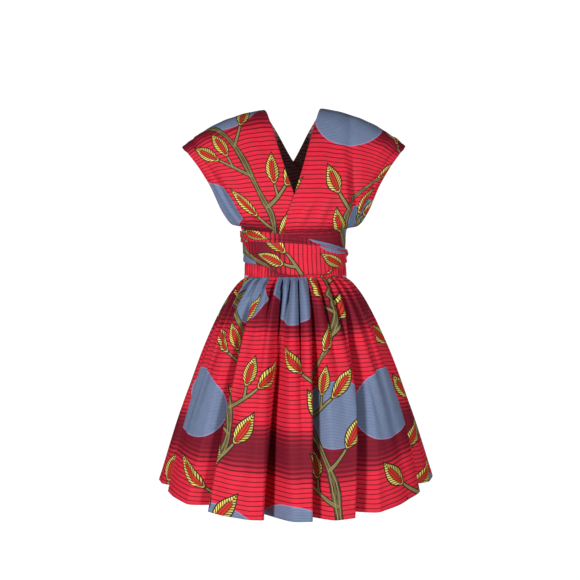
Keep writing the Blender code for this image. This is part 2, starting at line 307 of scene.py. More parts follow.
class Signal:
    """One number worked out by shader nodes, with the usual signs of arithmetic."""

    def __init__(self, tree: bpy.types.NodeTree, socket: bpy.types.NodeSocket) -> None:
        """Keeps the node tree and the socket that gives the number."""
        self.tree = tree
        self.socket = socket

    def math(self, operation: str, *others: "Signal | float") -> "Signal":
        """Adds one Math node, fed by this number and the others."""
        node = self.tree.nodes.new("ShaderNodeMath")
        node.operation = operation
        set_inputs(node, dict(enumerate((self, *others))))
        return Signal(self.tree, node.outputs[0])

    def __add__(self, other: "Signal | float") -> "Signal":
        """Sum."""
        return self.math("ADD", other)

    def __sub__(self, other: "Signal | float") -> "Signal":
        """Difference."""
        return self.math("SUBTRACT", other)

    def __mul__(self, other: "Signal | float") -> "Signal":
        """Product."""
        return self.math("MULTIPLY", other)

    def wave(self) -> "Signal":
        """Sine."""
        return self.math("SINE")

    def size(self) -> "Signal":
        """Value without its sign."""
        return self.math("ABSOLUTE")

    def part(self) -> "Signal":
        """Fractional part."""
        return self.math("FRACT")

    def under(self, limit: "Signal | float", soft: float) -> "Signal":
        """1 below a limit and 0 above it: clamp(0.5 + (limit - x) / (2 soft))."""
        scaled = (self - limit).math("MULTIPLY_ADD", -0.5 / soft, 0.5)
        scaled.socket.node.use_clamp = True
        return scaled

    def between(self, low: float, high: float, soft: float) -> "Signal":
        """1 between two limits, 0 outside them."""
        middle, reach = (low + high) / 2, (high - low) / 2
        return (self - middle).size().under(reach, soft)


def linear(red: int, green: int, blue: int) -> Colour:
    """A screen colour as the linear colour that a shader takes: ((c + 0.055) / 1.055)^2.4."""
    return (*(((c / 255 + 0.055) / 1.055) ** 2.4 for c in (red, green, blue)), 1.0)


def blended(
    factor: Signal, base: bpy.types.NodeSocket | Colour, over: bpy.types.NodeSocket | Colour
) -> bpy.types.NodeSocket:
    """Lays one colour over another by a factor."""
    node = factor.tree.nodes.new("ShaderNodeMix")
    node.data_type = "RGBA"
    set_inputs(node, {0: factor, 6: base, 7: over})
    return node.outputs[2]


@dataclass(frozen=True)
class WaxPrint:
    """Wax-printed cotton: red hatched ground, crimson bands, rounds and leafy stems.

    The pattern is read from the piece's own print map, in metres on the flat cloth. It repeats
    by half drops: each column of repeats is half a repeat higher than the one beside it.
    """

    face: ClothFace
    repeat_width: float = 0.34
    repeat_length: float = 0.58
    hatch_pitch: float = 0.0105
    hatch_share: float = 0.20
    hatch_swell: float = 0.5
    waver: float = 0.0011
    waver_rate: float = 41.0
    shake: float = 0.0004
    shake_rates: tuple[float, float] = (113.0, 30.0)
    band_pitch: float = 0.33
    band_waver: float = 0.012
    band_waver_rate: float = 9.0
    band_cover: float = 0.95
    fine_pitch: float = 0.0034
    fine_share: float = 0.42
    rim: tuple[float, float] = (-0.0022, -0.0004)
    ink_soft: float = 0.0005
    stem_sway: float = 0.045
    stem_wriggle: float = 0.012
    stem_half: float = 0.0062
    stem_swell: float = 0.0013
    stem_line: float = 0.0016
    stem_soft: float = 0.0004
    grain_rate: float = 1500.0
    stalk_half: float = 0.026
    stalk_taper: float = 0.030
    stalk_line: float = 0.020
    stalk_soft: float = 0.005
    stalk_end: float = 0.10
    pale_shares: tuple[float, float] = (0.55, 0.4)
    leaf_half_width: float = 0.195
    leaf_foot: float = 0.8
    leaf_point: float = 1.15
    leaf_edge: float = 0.028
    leaf_soft: float = 0.006
    vein_count: float = 13.0
    vein_lean: float = 0.9
    vein_share: float = 0.38
    rib: float = 0.006
    heart_share: float = 0.34
    heart_notch: float = 0.030
    heart_inset: float = 0.022
    heart_line: float = 0.014
    heart_ends: tuple[float, float] = (0.10, 0.70)
    dye_scale: float = 70.0
    dye_change: tuple[float, float] = (0.26, 0.87)
    # Saturation and value of the wrong side: it is duller, and its darkening is painted shade for
    # the inside of the dress.
    wrong_side_dull_and_shade: tuple[float, float] = (0.60, 0.62)
    thread_pitch: float = 0.00045
    slub_rates: tuple[float, float] = (2100.0, 260.0)
    bright_red: Colour = linear(202, 34, 56)
    hatch_red: Colour = linear(96, 6, 20)
    crimson: Colour = linear(106, 10, 32)
    round_blue: Colour = linear(108, 122, 150)
    round_line: Colour = linear(86, 98, 126)
    round_rim: Colour = linear(140, 126, 164)
    stem_olive: Colour = linear(92, 80, 52)
    stem_pale: Colour = linear(150, 140, 84)
    outline: Colour = linear(26, 18, 16)
    leaf_yellow: Colour = linear(214, 196, 98)
    leaf_green: Colour = linear(184, 166, 76)
    leaf_heart: Colour = linear(182, 42, 32)
    selvedge: Colour = linear(160, 150, 184)
    leaves: tuple[Leaf, ...] = (
        Leaf(0.010, 0.000, 52, 0.090, 0.60, 0.12),
        Leaf(0.075, 0.000, 132, 0.086, 0.55, -0.12),
        Leaf(0.135, 0.000, 40, 0.090, 0.85, 0.13),
        Leaf(0.162, 0.0378, 84, 0.080, 0.32, -0.09),
        Leaf(0.210, 0.000, 140, 0.088, 0.90, -0.12),
        Leaf(0.240, -0.0319, 98, 0.080, 0.32, 0.10),
        Leaf(0.290, 0.000, 58, 0.086, 0.60, 0.11),
        Leaf(0.340, 0.000, 126, 0.090, 0.75, -0.13),
        Leaf(0.400, 0.000, 44, 0.088, 0.85, 0.12),
        Leaf(0.432, 0.043, 88, 0.078, 0.32, -0.10),
        Leaf(0.470, 0.000, 136, 0.088, 0.65, -0.10),
        Leaf(0.530, 0.000, 60, 0.082, 0.45, 0.11),
    )
    discs: tuple[Disc, ...] = (Disc(0.045, 0.130, 0.084), Disc(0.190, 0.415, 0.078))

    def material(self) -> bpy.types.Material:
        """Builds the material: colours from the print, and a fine plain weave as bump."""
        material, tree = new_material(f"wax_print_{self.face.value}")
        u, v = self._cut_place(tree)
        values = {"Roughness": 0.72, "Specular IOR Level": 0.16, "Sheen Weight": 0.02}
        values["Sheen Roughness"] = 0.45
        values["Base Color"] = self._dyed(tree, self._colour(tree, u, v))
        values["Normal"] = self._weave(tree, u, v)
        set_inputs(tree.nodes[SHADER], values)
        return material

    def stem_middle(self, v: float) -> float:
        """Where the stem's middle is across the repeat, at a height in it."""
        turn = 2 * math.pi * v / self.repeat_length
        middle = self.repeat_width / 2 + self.stem_sway * math.sin(turn)
        return middle + self.stem_wriggle * math.sin(2 * turn + 1)

    def repeats(self, u: float, v: float, reach: float) -> list[tuple[float, float]]:
        """The places of a motif and of its repeats that reach into one repeat of the print."""
        moves = []
        for column in (0, -1, 1):
            for drop in (0, -1, 1, 2, -2):
                move_u = column * self.repeat_width
                move_v = (drop - column / 2) * self.repeat_length
                past_u = max(-(u + move_u), u + move_u - self.repeat_width, 0.0)
                past_v = max(-(v + move_v), v + move_v - self.repeat_length, 0.0)
                if math.hypot(past_u, past_v) < reach:
                    moves.append((move_u, move_v))
        return moves

    def _cut_place(self, tree: bpy.types.NodeTree) -> tuple[Signal, Signal]:
        """The place on the flat cloth, across and along it, from the print map."""
        place = tree.nodes.new("ShaderNodeUVMap")
        place.uv_map = PRINT_MAP
        split = tree.nodes.new("ShaderNodeSeparateXYZ")
        tree.links.new(place.outputs[0], split.inputs[0])
        return Signal(tree, split.outputs[0]), Signal(tree, split.outputs[1])

    def _colour(self, tree: bpy.types.NodeTree, u: Signal, v: Signal) -> bpy.types.NodeSocket:
        """The printed colour: ground, then rounds, stem and leaves laid over it."""
        column = (u * (1 / self.repeat_width)).math("FLOOR")
        pu = u - column * self.repeat_width
        dropped = v + column * (self.repeat_length / 2)
        pv = (dropped * (1 / self.repeat_length)).part() * self.repeat_length
        colour = self._ground(u, v)
        colour = self._rounds(colour, pu, pv, v)
        t, s, past = self._nearest_leaf(tree, pu, pv)
        colour = self._wood(colour, pu, pv, t, (s * s + past * past).math("SQRT"))
        colour = self._blade(colour, t, s)
        edge = tree.nodes.new("ShaderNodeAttribute")
        edge.attribute_name = SELVEDGE_MAP
        return blended(Signal(tree, edge.outputs["Fac"]), colour, self.selvedge)

    def _ground(self, u: Signal, v: Signal) -> bpy.types.NodeSocket:
        """Red with hand-drawn cross lines that thicken and merge in crimson bands.

        The line is where frac((v + waver sin(rate u)) / pitch) is under hatch_share plus
        hatch_swell band, and the band is where cos(2 pi v / band pitch) is near 1.
        """
        wobble = (u * self.waver_rate).wave() * self.waver
        rate_u, rate_v = self.shake_rates
        wobble = wobble + (u * rate_u + v * rate_v).wave() * self.shake
        swayed = v + (u * self.band_waver_rate).wave() * self.band_waver
        band = (swayed * (2 * math.pi / self.band_pitch)).math("COSINE")
        band = band.math("MULTIPLY_ADD", 1.5, -0.5)
        band.socket.node.use_clamp = True
        phase = ((v + wobble) * (1 / self.hatch_pitch)).part()
        line = phase.under(band * self.hatch_swell + self.hatch_share, 0.06)
        red = blended(line, self.bright_red, self.hatch_red)
        return blended(band * self.band_cover, red, self.crimson)

    def _rounds(self, colour, pu: Signal, pv: Signal, v: Signal) -> bpy.types.NodeSocket:
        """Blue-grey rounds with fine cross lines and a pale rim.

        The distance is the least of sqrt((pu - cu)^2 + (pv - cv)^2) - r over the rounds.
        """
        nearest: Signal | None = None
        for disc in self.discs:
            for move_u, move_v in self.repeats(disc.u, disc.v, disc.radius):
                across, along = pu - (disc.u + move_u), pv - (disc.v + move_v)
                gap = (across * across + along * along).math("SQRT") - disc.radius
                nearest = gap if nearest is None else nearest.math("MINIMUM", gap)
        fine = (v * (1 / self.fine_pitch)).part().under(self.fine_share, 0.12)
        blue = blended(fine, self.round_blue, self.round_line)
        blue = blended(nearest.between(*self.rim, self.ink_soft), blue, self.round_rim)
        return blended(nearest.under(0.0, self.ink_soft), colour, blue)

    def _wood(
        self, colour: bpy.types.NodeSocket, pu: Signal, pv: Signal, t: Signal, off_stalk: Signal
    ) -> bpy.types.NodeSocket:
        """The climbing stem and its stalks as one branching line with one dark outline.

        The stem is where |pu - middle| is under a half width that swells slowly. A stalk's half
        width grows from leaf to stem as stalk_half - stalk_taper t, in shares of the leaf.
        """
        turn = pv * (2 * math.pi / self.repeat_length)
        middle = turn.wave() * self.stem_sway + (turn * 2.0 + 1.0).wave() * self.stem_wriggle
        off = (pu - (middle + self.repeat_width / 2)).size()
        half = (turn * 5.0 + 0.7).wave() * self.stem_swell + self.stem_half
        taper = t.math("MINIMUM", 0.0) * -self.stalk_taper + self.stalk_half
        below = t.under(self.stalk_end, 0.01)
        for past_stem, past_stalk, ink in (
            (half + self.stem_line, taper + self.stalk_line, self.outline),
            (half, taper, self.stem_olive),
        ):
            on_stem = off.under(past_stem, self.stem_soft)
            on_stalk = off_stalk.under(past_stalk, self.stalk_soft) * below
            colour = blended(on_stem.math("MAXIMUM", on_stalk), colour, ink)
        grain = (off * self.grain_rate + (pv * 130.0).wave() * 1.5).wave().under(-0.55, 0.3)
        colour = blended(grain * off.under(half, self.stem_soft), colour, self.outline)
        stem_share, stalk_share = self.pale_shares
        pale = (off - half * stem_share).size().under(0.0005, self.stem_soft)
        pale_stalk = (off_stalk - taper * stalk_share).size().under(0.006, 0.004) * below
        return blended(pale.math("MAXIMUM", pale_stalk), colour, self.stem_pale)

    def _blade(self, colour: bpy.types.NodeSocket, t: Signal, s: Signal) -> bpy.types.NodeSocket:
        """The blade of the nearest leaf.

        With t along and s across the leaf as shares of its length, its edge is at
        |s| = w sin(pi t^leaf_foot)^leaf_point, and its veins are where
        frac(vein_count (t - vein_lean |s|)) is small. They also notch the edge of its red heart.
        """
        held = t.math("MINIMUM", 1.0).math("MAXIMUM", 0.0)
        swell = (held.math("POWER", self.leaf_foot) * math.pi).wave().math("MAXIMUM", 0.0)
        reach = swell.math("POWER", self.leaf_point) * self.leaf_half_width
        side = s.size()
        row = ((held - side * self.vein_lean) * self.vein_count).part()
        heart = reach * self.heart_share + row * self.heart_notch - self.heart_inset
        in_heart = held.between(*self.heart_ends, 0.02)
        flesh = blended(s.under(0.0, 0.03), self.leaf_yellow, self.leaf_green)
        for shown, ink in (
            (row.under(self.vein_share, 0.08), self.outline),
            (side.under(heart + self.heart_line, 0.005) * in_heart, self.outline),
            (side.under(heart, 0.005) * in_heart, self.leaf_heart),
            (side.under(self.rib, 0.004), self.outline),
            ((reach - side).under(self.leaf_edge, self.leaf_soft), self.outline),
        ):
            flesh = blended(shown, flesh, ink)
        blade = side.under(reach, self.leaf_soft) * t.between(0.0, 1.0, 0.004)
        return blended(blade, colour, flesh)

    def _nearest_leaf(self, tree: bpy.types.NodeTree, pu: Signal, pv: Signal) -> tuple[Signal, ...]:
        """The nearest leaf's own along t and across s, and how far a place is past its ends.

        They are shares of the leaf's length. With m and h the middle and half of the line from
        stalk to tip, past is max(|t - m| - h, 0), the nearest leaf has the least
        40 past^2 + s^2, and a blade counts as nearer than a stalk. The line bends as
        t (t + stalk), so that it starts on the stem.
        """
        best: tuple[Signal, ...] | None = None
        least: Signal | None = None
        for leaf in self.leaves:
            ahead_u, ahead_v = (f(math.radians(leaf.heading_deg)) for f in (math.cos, math.sin))
            base_u = self.stem_middle(leaf.v) + leaf.out + leaf.stalk * leaf.length * ahead_u
            base_v = leaf.v + leaf.stalk * leaf.length * ahead_v
            middle, half = (1 - leaf.stalk) / 2, (1 + leaf.stalk) / 2
            places = self.repeats(
                base_u + middle * leaf.length * ahead_u,
                base_v + middle * leaf.length * ahead_v,
                (half + 0.03) * leaf.length,
            )
            for move_u, move_v in places:
                off_u, off_v = pu - (base_u + move_u), pv - (base_v + move_v)
                t = (off_u * ahead_u + off_v * ahead_v) * (1 / leaf.length)
                s = (off_v * ahead_u - off_u * ahead_v) * (1 / leaf.length)
                s = s - t * (t + leaf.stalk) * leaf.bend
                past = ((t - middle).size() - half).math("MAXIMUM", 0.0)
                blade = (t - 0.5).size().under(0.55, 0.02) * -0.012
                far = past * past * 40.0 + s * s + blade
                if best is None:
                    best, least = (t, s, past), far
                    continue
                nearer = far.math("LESS_THAN", least)
                best = tuple(old + nearer * (new - old) for old, new in zip(best, (t, s, past)))
                least = least.math("MINIMUM", far)
        return best

    def _dyed(self, tree: bpy.types.NodeTree, colour: bpy.types.NodeSocket) -> bpy.types.NodeSocket:
        """Small changes of the dye over the cloth, and a duller wrong side, darkened as painted
        shade.
        """
        place = tree.nodes.new("ShaderNodeUVMap")
        place.uv_map = PRINT_MAP
        values = {"Scale": self.dye_scale, "Detail": 3.0, "Vector": place.outputs[0]}
        cloud = add_node(tree, "TexNoise", values)
        shade = Signal(tree, cloud.outputs[0]).math("MULTIPLY_ADD", *self.dye_change)
        # On the wrong side the value is painted shade that darkens the print, and the lower
        # saturation dulls it.
        strength, value = self.wrong_side_dull_and_shade if self.face is ClothFace.WRONG else (1.0, 1.0)
        values = {"Saturation": strength, "Value": shade * value, "Color": colour}
        return add_node(tree, "HueSaturation", values).outputs[0]

    def _weave(self, tree: bpy.types.NodeTree, u: Signal, v: Signal) -> bpy.types.NodeSocket:
        """A plain weave, sin(au) sin(av), with a slow change of the threads' thickness."""
        rate = 2 * math.pi / self.thread_pitch
        threads = (u * rate).wave() * (v * rate).wave()
        along, across = self.slub_rates
        slub = (v * along + (u * across).wave()).wave() * 0.5
        values = {"Strength": 0.12, "Distance": 0.00003, "Height": threads + slub}
        return add_node(tree, "Bump", values).outputs[0]


@dataclass(frozen=True)
class Thread:
    """Polyester sewing thread: a soft-sheened twisted yarn."""

    colour: Colour = linear(150, 22, 40)
    twist_scale: float = 1800.0

    def material(self) -> bpy.types.Material:
        """Builds the thread's material, with its twist as bump and a slight change of shade."""
        material, tree = new_material("sewing_thread")
        place = tree.nodes.new("ShaderNodeTexCoord").outputs["Object"]
        twist = add_node(tree, "TexNoise", {"Scale": self.twist_scale, "Vector": place}).outputs[0]
        value = Signal(tree, twist).math("MULTIPLY_ADD", 0.5, 0.75)
        shade = add_node(tree, "HueSaturation", {"Color": self.colour, "Value": value})
        bump = add_node(tree, "Bump", {"Distance": 0.0001, "Height": twist})
        values = {"Roughness": 0.5, "Sheen Weight": 0.2}
        values |= {"Base Color": shade.outputs[0], "Normal": bump.outputs[0]}
        set_inputs(tree.nodes[SHADER], values)
        return material


@dataclass
class Wardrobe:
    """The finishes of the dress, each made once."""

    right: bpy.types.Material = field(default_factory=lambda: WaxPrint(ClothFace.RIGHT).material())
    # The wrong side's material, used on every inner face, is darkened as painted shade.
    wrong: bpy.types.Material = field(default_factory=lambda: WaxPrint(ClothFace.WRONG).material())
    thread: bpy.types.Material = field(default_factory=lambda: Thread().material())


def grid_faces(rows: int, columns: int, closed: bool) -> np.ndarray:
    """The four corners of each cell of a grid, turned so that across x along points outwards."""
    row = np.arange(rows if closed else rows - 1)[:, None]
    column = np.arange(columns - 1)[None, :]
    here, after = row * columns + column, ((row + 1) % rows) * columns + column
    return np.stack([here, here + 1, after + 1, after], axis=-1).reshape(-1, 4)


def new_mesh(name: str, points: np.ndarray, faces: np.ndarray) -> bpy.types.Object:
    """Makes an object from points and four-cornered faces, with smooth shading."""
    mesh = bpy.data.meshes.new(name)
    mesh.from_pydata(points.reshape(-1, 3).tolist(), [], faces.tolist())
    mesh.shade_smooth()
    piece = bpy.data.objects.new(name, mesh)
    bpy.context.scene.collection.objects.link(piece)
    return piece


def cloth_sheet(
    name: str, points: np.ndarray, u: np.ndarray, v: np.ndarray, wardrobe: Wardrobe,
    closed: bool = False,
) -> bpy.types.Object:
    """A sheet of printed cloth on a grid of points, with its print map and thickness.

    Args:
        name: The piece's name.
        points: The grid, rows by columns by 3.
        u: Place of each point across the flat cloth. With v it broadcasts to the grid, and a
            closed sheet has one more row in them than in points.
        v: Place of each point along the flat cloth.
        wardrobe: The finishes.
        closed: Whether the last row joins the first.

    Returns:
        The piece.
    """
    rows, columns = points.shape[:2]
    faces = grid_faces(rows, columns, closed)
    piece = new_mesh(name, points, faces)
    corners = faces
    if closed:
        row, column = np.divmod(faces, columns)
        last = (np.arange(len(faces)) // (columns - 1) == rows - 1)[:, None] & (row == 0)
        corners = np.where(last, rows, row) * columns + column
    layer = piece.data.uv_layers.new(name=PRINT_MAP)
    cut = np.stack(np.broadcast_arrays(u, v), axis=-1).reshape(-1, 2)
    layer.data.foreach_set("uv", cut[corners.reshape(-1)].astype(np.float32).ravel())
    for finish in (wardrobe.right, wardrobe.wrong):
        piece.data.materials.append(finish)
    wall = piece.modifiers.new("Cloth thickness", "SOLIDIFY")
    wall.thickness = SHEET
    wall.offset = 1.0
    # The inner faces take the wrong side's material, whose darkening is painted shade.
    wall.material_offset = 1
    wall.material_offset_rim = 0
    return piece


def stitch_run(
    name: str, line: np.ndarray, normals: np.ndarray, thread: bpy.types.Material,
    pitch: float = 0.0036, length: float = 0.0025, radius: float = 0.00028,
) -> bpy.types.Object:
    """A row of stitches along a line on the cloth, as small spindles sunk into it.

    The line is walked by its arc length. Each stitch has a point at each end and two rings of
    four between them, at a radius across the line and along the normal.

    Args:
        name: The piece's name.
        line: Points along the line, n by 3.
        normals: The cloth's normals there, n by 3.
        thread: The thread's material.
        pitch: Distance from one stitch to the next.
        length: Length of a stitch.
        radius: Half its thickness.

    Returns:
        The piece.
    """
    run = walk(line)
    starts = np.arange(0.5 * pitch, run[-1] - pitch, pitch)
    shares = np.array([0.0, 0.22, 0.78, 1.0])
    sunk = np.array([-0.5, 0.35, 0.35, -0.5])
    places = starts[:, None] + shares[None, :] * length

    def read(values: np.ndarray) -> np.ndarray:
        """Values along the run at each ring's distance."""
        return np.stack([np.interp(places, run, values[:, k]) for k in range(3)], axis=-1)

    centre, normal = read(line), read(normals)
    ahead = np.gradient(centre, axis=1)
    side = np.cross(ahead, normal)
    side /= np.maximum(np.linalg.norm(side, axis=-1, keepdims=True), 1e-12)
    centre = centre + normal * (sunk * radius)[None, :, None]
    turn = np.radians([45, 135, 225, 315])
    wide = np.where((shares > 0) & (shares < 1), radius, radius * 0.25)[None, :, None, None]
    ring = (
        centre[:, :, None, :]
        + wide * np.cos(turn)[None, None, :, None] * side[:, :, None, :]
        + wide * np.sin(turn)[None, None, :, None] * normal[:, :, None, :]
    )
    rings, around = len(shares), len(turn)
    first = np.arange(rings - 1)[:, None] * around
    here, beside = first + np.arange(around), first + (np.arange(around) + 1) % around
    sides = np.stack([here, beside, beside + around, here + around], axis=-1).reshape(-1, 4)
    ends = [np.arange(around)[::-1], np.arange(around) + (rings - 1) * around]
    cells = np.concatenate([sides, ends])
    base = np.arange(len(starts)) * rings * around
    faces = (base[:, None, None] + cells[None]).reshape(-1, 4)
    piece = new_mesh(name, ring.reshape(-1, 3), faces)
    piece.data.materials.append(thread)
    return piece


def along_edge(points: np.ndarray, column: int) -> tuple[np.ndarray, np.ndarray]:
    """The line down one column of a grid of cloth, on its outer face, and the normals there."""
    normals = outward(points)
    return points[:, column] + normals[:, column] * SHEET, normals[:, column]


@dataclass
class SkirtHalf:
    """One gathered panel of the skirt, from the waist seam to its turned hem."""

    name: str
    node: str
    start_deg: float
    print_shift: tuple[float, float]
    hem_half_width: float = 0.326
    hem_front_depth: float = 0.285
    hem_back_depth: float = 0.270
    hem_front_z: float = -0.926
    hem_side_z: float = -0.874
    hem_tilt: float = 0.007
    hem_back_z: float = -0.915
    hem_power: float = 3
    flare_power: float = 0.68
    heading: float = 0.006
    waist_allowance: float = 0.0066
    gather_count: int = 36
    cut_width: float = 1.12
    cut_waist_width: float = 0.74
    cut_length: float = 0.565
    hem_turn: float = 0.018
    seam_deg: float = 0.03
    hem_step: float = 0.00035
    hem_step_blend: float = 0.0006
    seam_pull: float = 0.0014
    seam_pull_deg: float = 0.45
    stitch_pull: float = 0.0006
    stitch_pull_width: float = 0.0022
    stitch_inset: float = 0.003
    columns: int = 400
    rows: int = 92
    row_power: float = 1.25
    folds: tuple[Fold, ...] = (
        Fold(-79, -71, 7, 0.052, 0.028, 0.10),
        Fold(-41, -42, 6.5, 0.080, 0.040, 0.10),
        Fold(-11, -7.0, 7.4, 0.078, -0.046, 0.05),
        Fold(14, 10.5, 5.4, 0.066, -0.036, 0.05),
        Fold(47, 28.5, 6.5, 0.084, -0.042, 0.08),
        Fold(78, 66, 7, 0.054, -0.030, 0.12),
        Fold(100, 102, 7, 0.042, -0.018, 0.10),
        Fold(123, 124, 8, 0.058, -0.026, 0.08),
        Fold(146, 145, 7, 0.046, 0.020, 0.10),
        Fold(169, 168, 6.5, 0.042, -0.018, 0.08),
        Fold(191, 190, 7, 0.050, 0.022, 0.08),
        Fold(213, 214, 7, 0.046, 0.020, 0.10),
        Fold(236, 237, 8, 0.058, 0.026, 0.08),
        Fold(257, 258, 7, 0.042, 0.018, 0.12),
    )
    fold_sharpness: float = 1.5
    fold_growth: float = 0.5
    lean_growth: float = 3
    gather_roundness: float = 1.6
    gather_lean: float = 0.14
    pucker: float = 0.0032
    pucker_reach: float = 0.06
    pucker_start: float = 0.012
    rumple: float = 0.0011
    flute: float = 0.0017
    flute_count: int = 29
    gather_shares: tuple[float, ...] = (0.0, 0.02, 0.06, 0.12, 0.22, 0.34, 0.50, 0.72, 1.0)
    gather_depths: tuple[float, ...] = (0.004, 0.019, 0.027, 0.028, 0.018, 0.009, 0.004, 0.001, 0.0)

    def points(self, degrees: np.ndarray, share: np.ndarray, gathered: bool = True) -> np.ndarray:
        """The panel's points.

        An oval whose half axes grow from waist to hem as share^flare_power, moved in by its
        folds and gathers along the normal of the oval, and sideways under each fold's crest.

        Args:
            degrees: Angles from the front centre line, one for each column.
            share: Shares of the height, one for each row.
            gathered: Whether the gathers are there as well as the folds.

        Returns:
            The grid, rows by columns by 3.
        """
        turn = np.radians(degrees)[None, :]
        share = share[:, None]
        front = np.cos(turn) > 0
        flare = np.clip((share - self.heading) / (1 - self.heading), 0, 1) ** self.flare_power
        waist_depth = np.where(front, FRONT_LEVELS[0].depth, BACK_LEVELS[0].depth)
        waist_depth = waist_depth + self.waist_allowance
        hem_depth = np.where(front, self.hem_front_depth, self.hem_back_depth)
        half_width = FRONT_LEVELS[0].half_width + self.waist_allowance
        half_width = half_width + (self.hem_half_width - half_width) * flare
        depth = waist_depth + (hem_depth - waist_depth) * flare
        centre_z = np.where(front, self.hem_front_z, self.hem_back_z)
        side_z = self.hem_side_z + self.hem_tilt * np.sin(turn)
        hem_z = centre_z + (side_z - centre_z) * np.abs(np.sin(turn)) ** self.hem_power
        start_z = SEAM_Z - SEAM_GAP
        z = start_z + (hem_z - start_z) * share
        out_x, out_y = depth * np.sin(turn), -half_width * np.cos(turn)
        length = np.hypot(out_x, out_y)
        out_x, out_y = out_x / length, out_y / length
        inward, slide = self._fold_moves(degrees, share)
        if gathered:
            gathers, swing = self._gather_moves(turn, share)
            inward = inward + gathers + self._rumple(turn, share)
            slide = slide + swing
        x = half_width * np.sin(turn) - out_x * inward - out_y * slide
        y = -depth * np.cos(turn) - out_y * inward + out_x * slide
        return np.stack([x, y, z], axis=-1)

    def _fold_moves(self, degrees: np.ndarray, share: np.ndarray) -> tuple[np.ndarray, np.ndarray]:
        """How far the folds move the cloth in and sideways.

        In by depth g ((1 + cos(pi r)) / 2)^sharpness, and sideways by the same shape with
        g^lean_growth, so that a fold leans over its valley only low down. g grows as the
        fold_growth power of the share.
        """
        inward, slide = np.zeros((2, len(share), len(degrees)))
        for fold in self.folds:
            centre = fold.top_deg + (fold.hem_deg - fold.top_deg) * share
            off = (degrees[None, :] - centre + 180) % 360 - 180
            valley = folded_waves(np.pi * (1 + np.clip(off / fold.width_deg, -1, 1)))
            valley = valley**self.fold_sharpness
            grown = np.clip((share - fold.start) / (1 - fold.start), 0, 1) ** self.fold_growth
            inward += fold.depth * grown * valley
            slide += fold.slide * grown**self.lean_growth * valley
        return inward, slide

    def _gather_moves(self, turn: np.ndarray, share: np.ndarray) -> tuple[np.ndarray, np.ndarray]:
        """Gathers with round crests and sharp valleys, uneven in length and depth.

        Inward they move depth (1 - |cos(x / 2)|^roundness) and sideways up to gather_lean of
        depth sin x, so that each leans to one side. Small puckers lie just under the seam.
        """
        wander = 1.1 * np.sin(3 * turn + 0.5) + 0.7 * np.sin(7 * turn + 1.3)
        phase = self.gather_count * turn + wander
        uneven = 0.42 * np.sin(12 * turn + 2.1 * np.sin(5 * turn)) + 0.26 * np.sin(5 * turn + 2.0)
        long = 0.80 + uneven
        depth = np.interp(share / long, self.gather_shares, self.gather_depths)
        depth = depth * (0.45 + 0.65 * long)
        wave = 1 - np.abs(np.cos(phase / 2)) ** self.gather_roundness
        pucker = 2 * self.pucker * bell(share, self.pucker_reach)
        pucker = pucker * folded_waves(2 * phase + 1.7 * np.sin(9 * turn))
        lean_side = self.gather_lean * np.sin(phase) * np.sin(2 * turn + 0.6)
        started = np.clip(share / self.pucker_start, 0, 1)
        return depth * wave + pucker * started, depth * lean_side

    def _rumple(self, turn: np.ndarray, share: np.ndarray) -> np.ndarray:
        """Unevenness of hanging cloth: crossed sine waves, and upright flutes."""
        slow = np.sin(11 * turn + 5 * share) * np.sin(7 * share + 3 * turn)
        flutes = np.sin(self.flute_count * turn + 1.6 * np.sin(4 * turn + 0.8) + 2.2 * share)
        uneven = 0.6 + 0.4 * np.sin(6 * turn - 3 * share)
        risen = np.clip(share * 4, 0, 1)
        return (self.rumple * (1 + slow) + self.flute * (1 + flutes) * uneven) * risen

    def build(self, wardrobe: Wardrobe) -> list[bpy.types.Object]:
        """Makes the panel and the stitching of its hem."""
        start, stop = self.start_deg - self.seam_deg, self.start_deg + 180 + self.seam_deg
        degrees = np.linspace(start, stop, self.columns + 1)
        share = np.insert(np.linspace(0, 1, self.rows) ** self.row_power, 1, self.heading)
        points = self.points(degrees, share)[::-1]
        share = share[::-1]
        from_hem = (1 - share)[:, None] * self.cut_length
        points = lifted(points, SHEET_LIFT + self._seam_moves(degrees, from_hem))
        walked = walk(self.points(degrees, share, gathered=False), axis=1)
        wide = self.cut_width + (self.cut_waist_width - self.cut_width) * (1 - share)[:, None]
        u = (walked / walked[:, -1:] - 0.5) * wide + self.print_shift[0]
        cloth = cloth_sheet(self.name, points, u, from_hem + self.print_shift[1], wardrobe)
        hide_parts(self.node)
        row = int(np.argmin(np.abs(from_hem[:, 0] - self.hem_turn + self.stitch_inset)))
        normals = outward(points)[row]
        line = points[row] + normals * SHEET
        stitches = stitch_run(f"{self.name}_hem_stitching", line, normals, wardrobe.thread)
        return [cloth, stitches]

    def _seam_moves(self, degrees: np.ndarray, from_hem: np.ndarray) -> np.ndarray:
        """The turned hem stands proud by a step, and its stitching and the side seams pull in."""
        from_seam = np.minimum(degrees - degrees[0], degrees[-1] - degrees)[None, :]
        past_turn = (self.hem_turn - from_hem) / self.hem_step_blend
        turned = self.hem_step * np.clip(past_turn + 0.5, 0, 1)
        at_seam = self.seam_pull * bell(from_seam, self.seam_pull_deg)
        at_stitch = self.stitch_pull * bell(from_hem - self.hem_turn, self.stitch_pull_width)
        return turned - at_seam - at_stitch


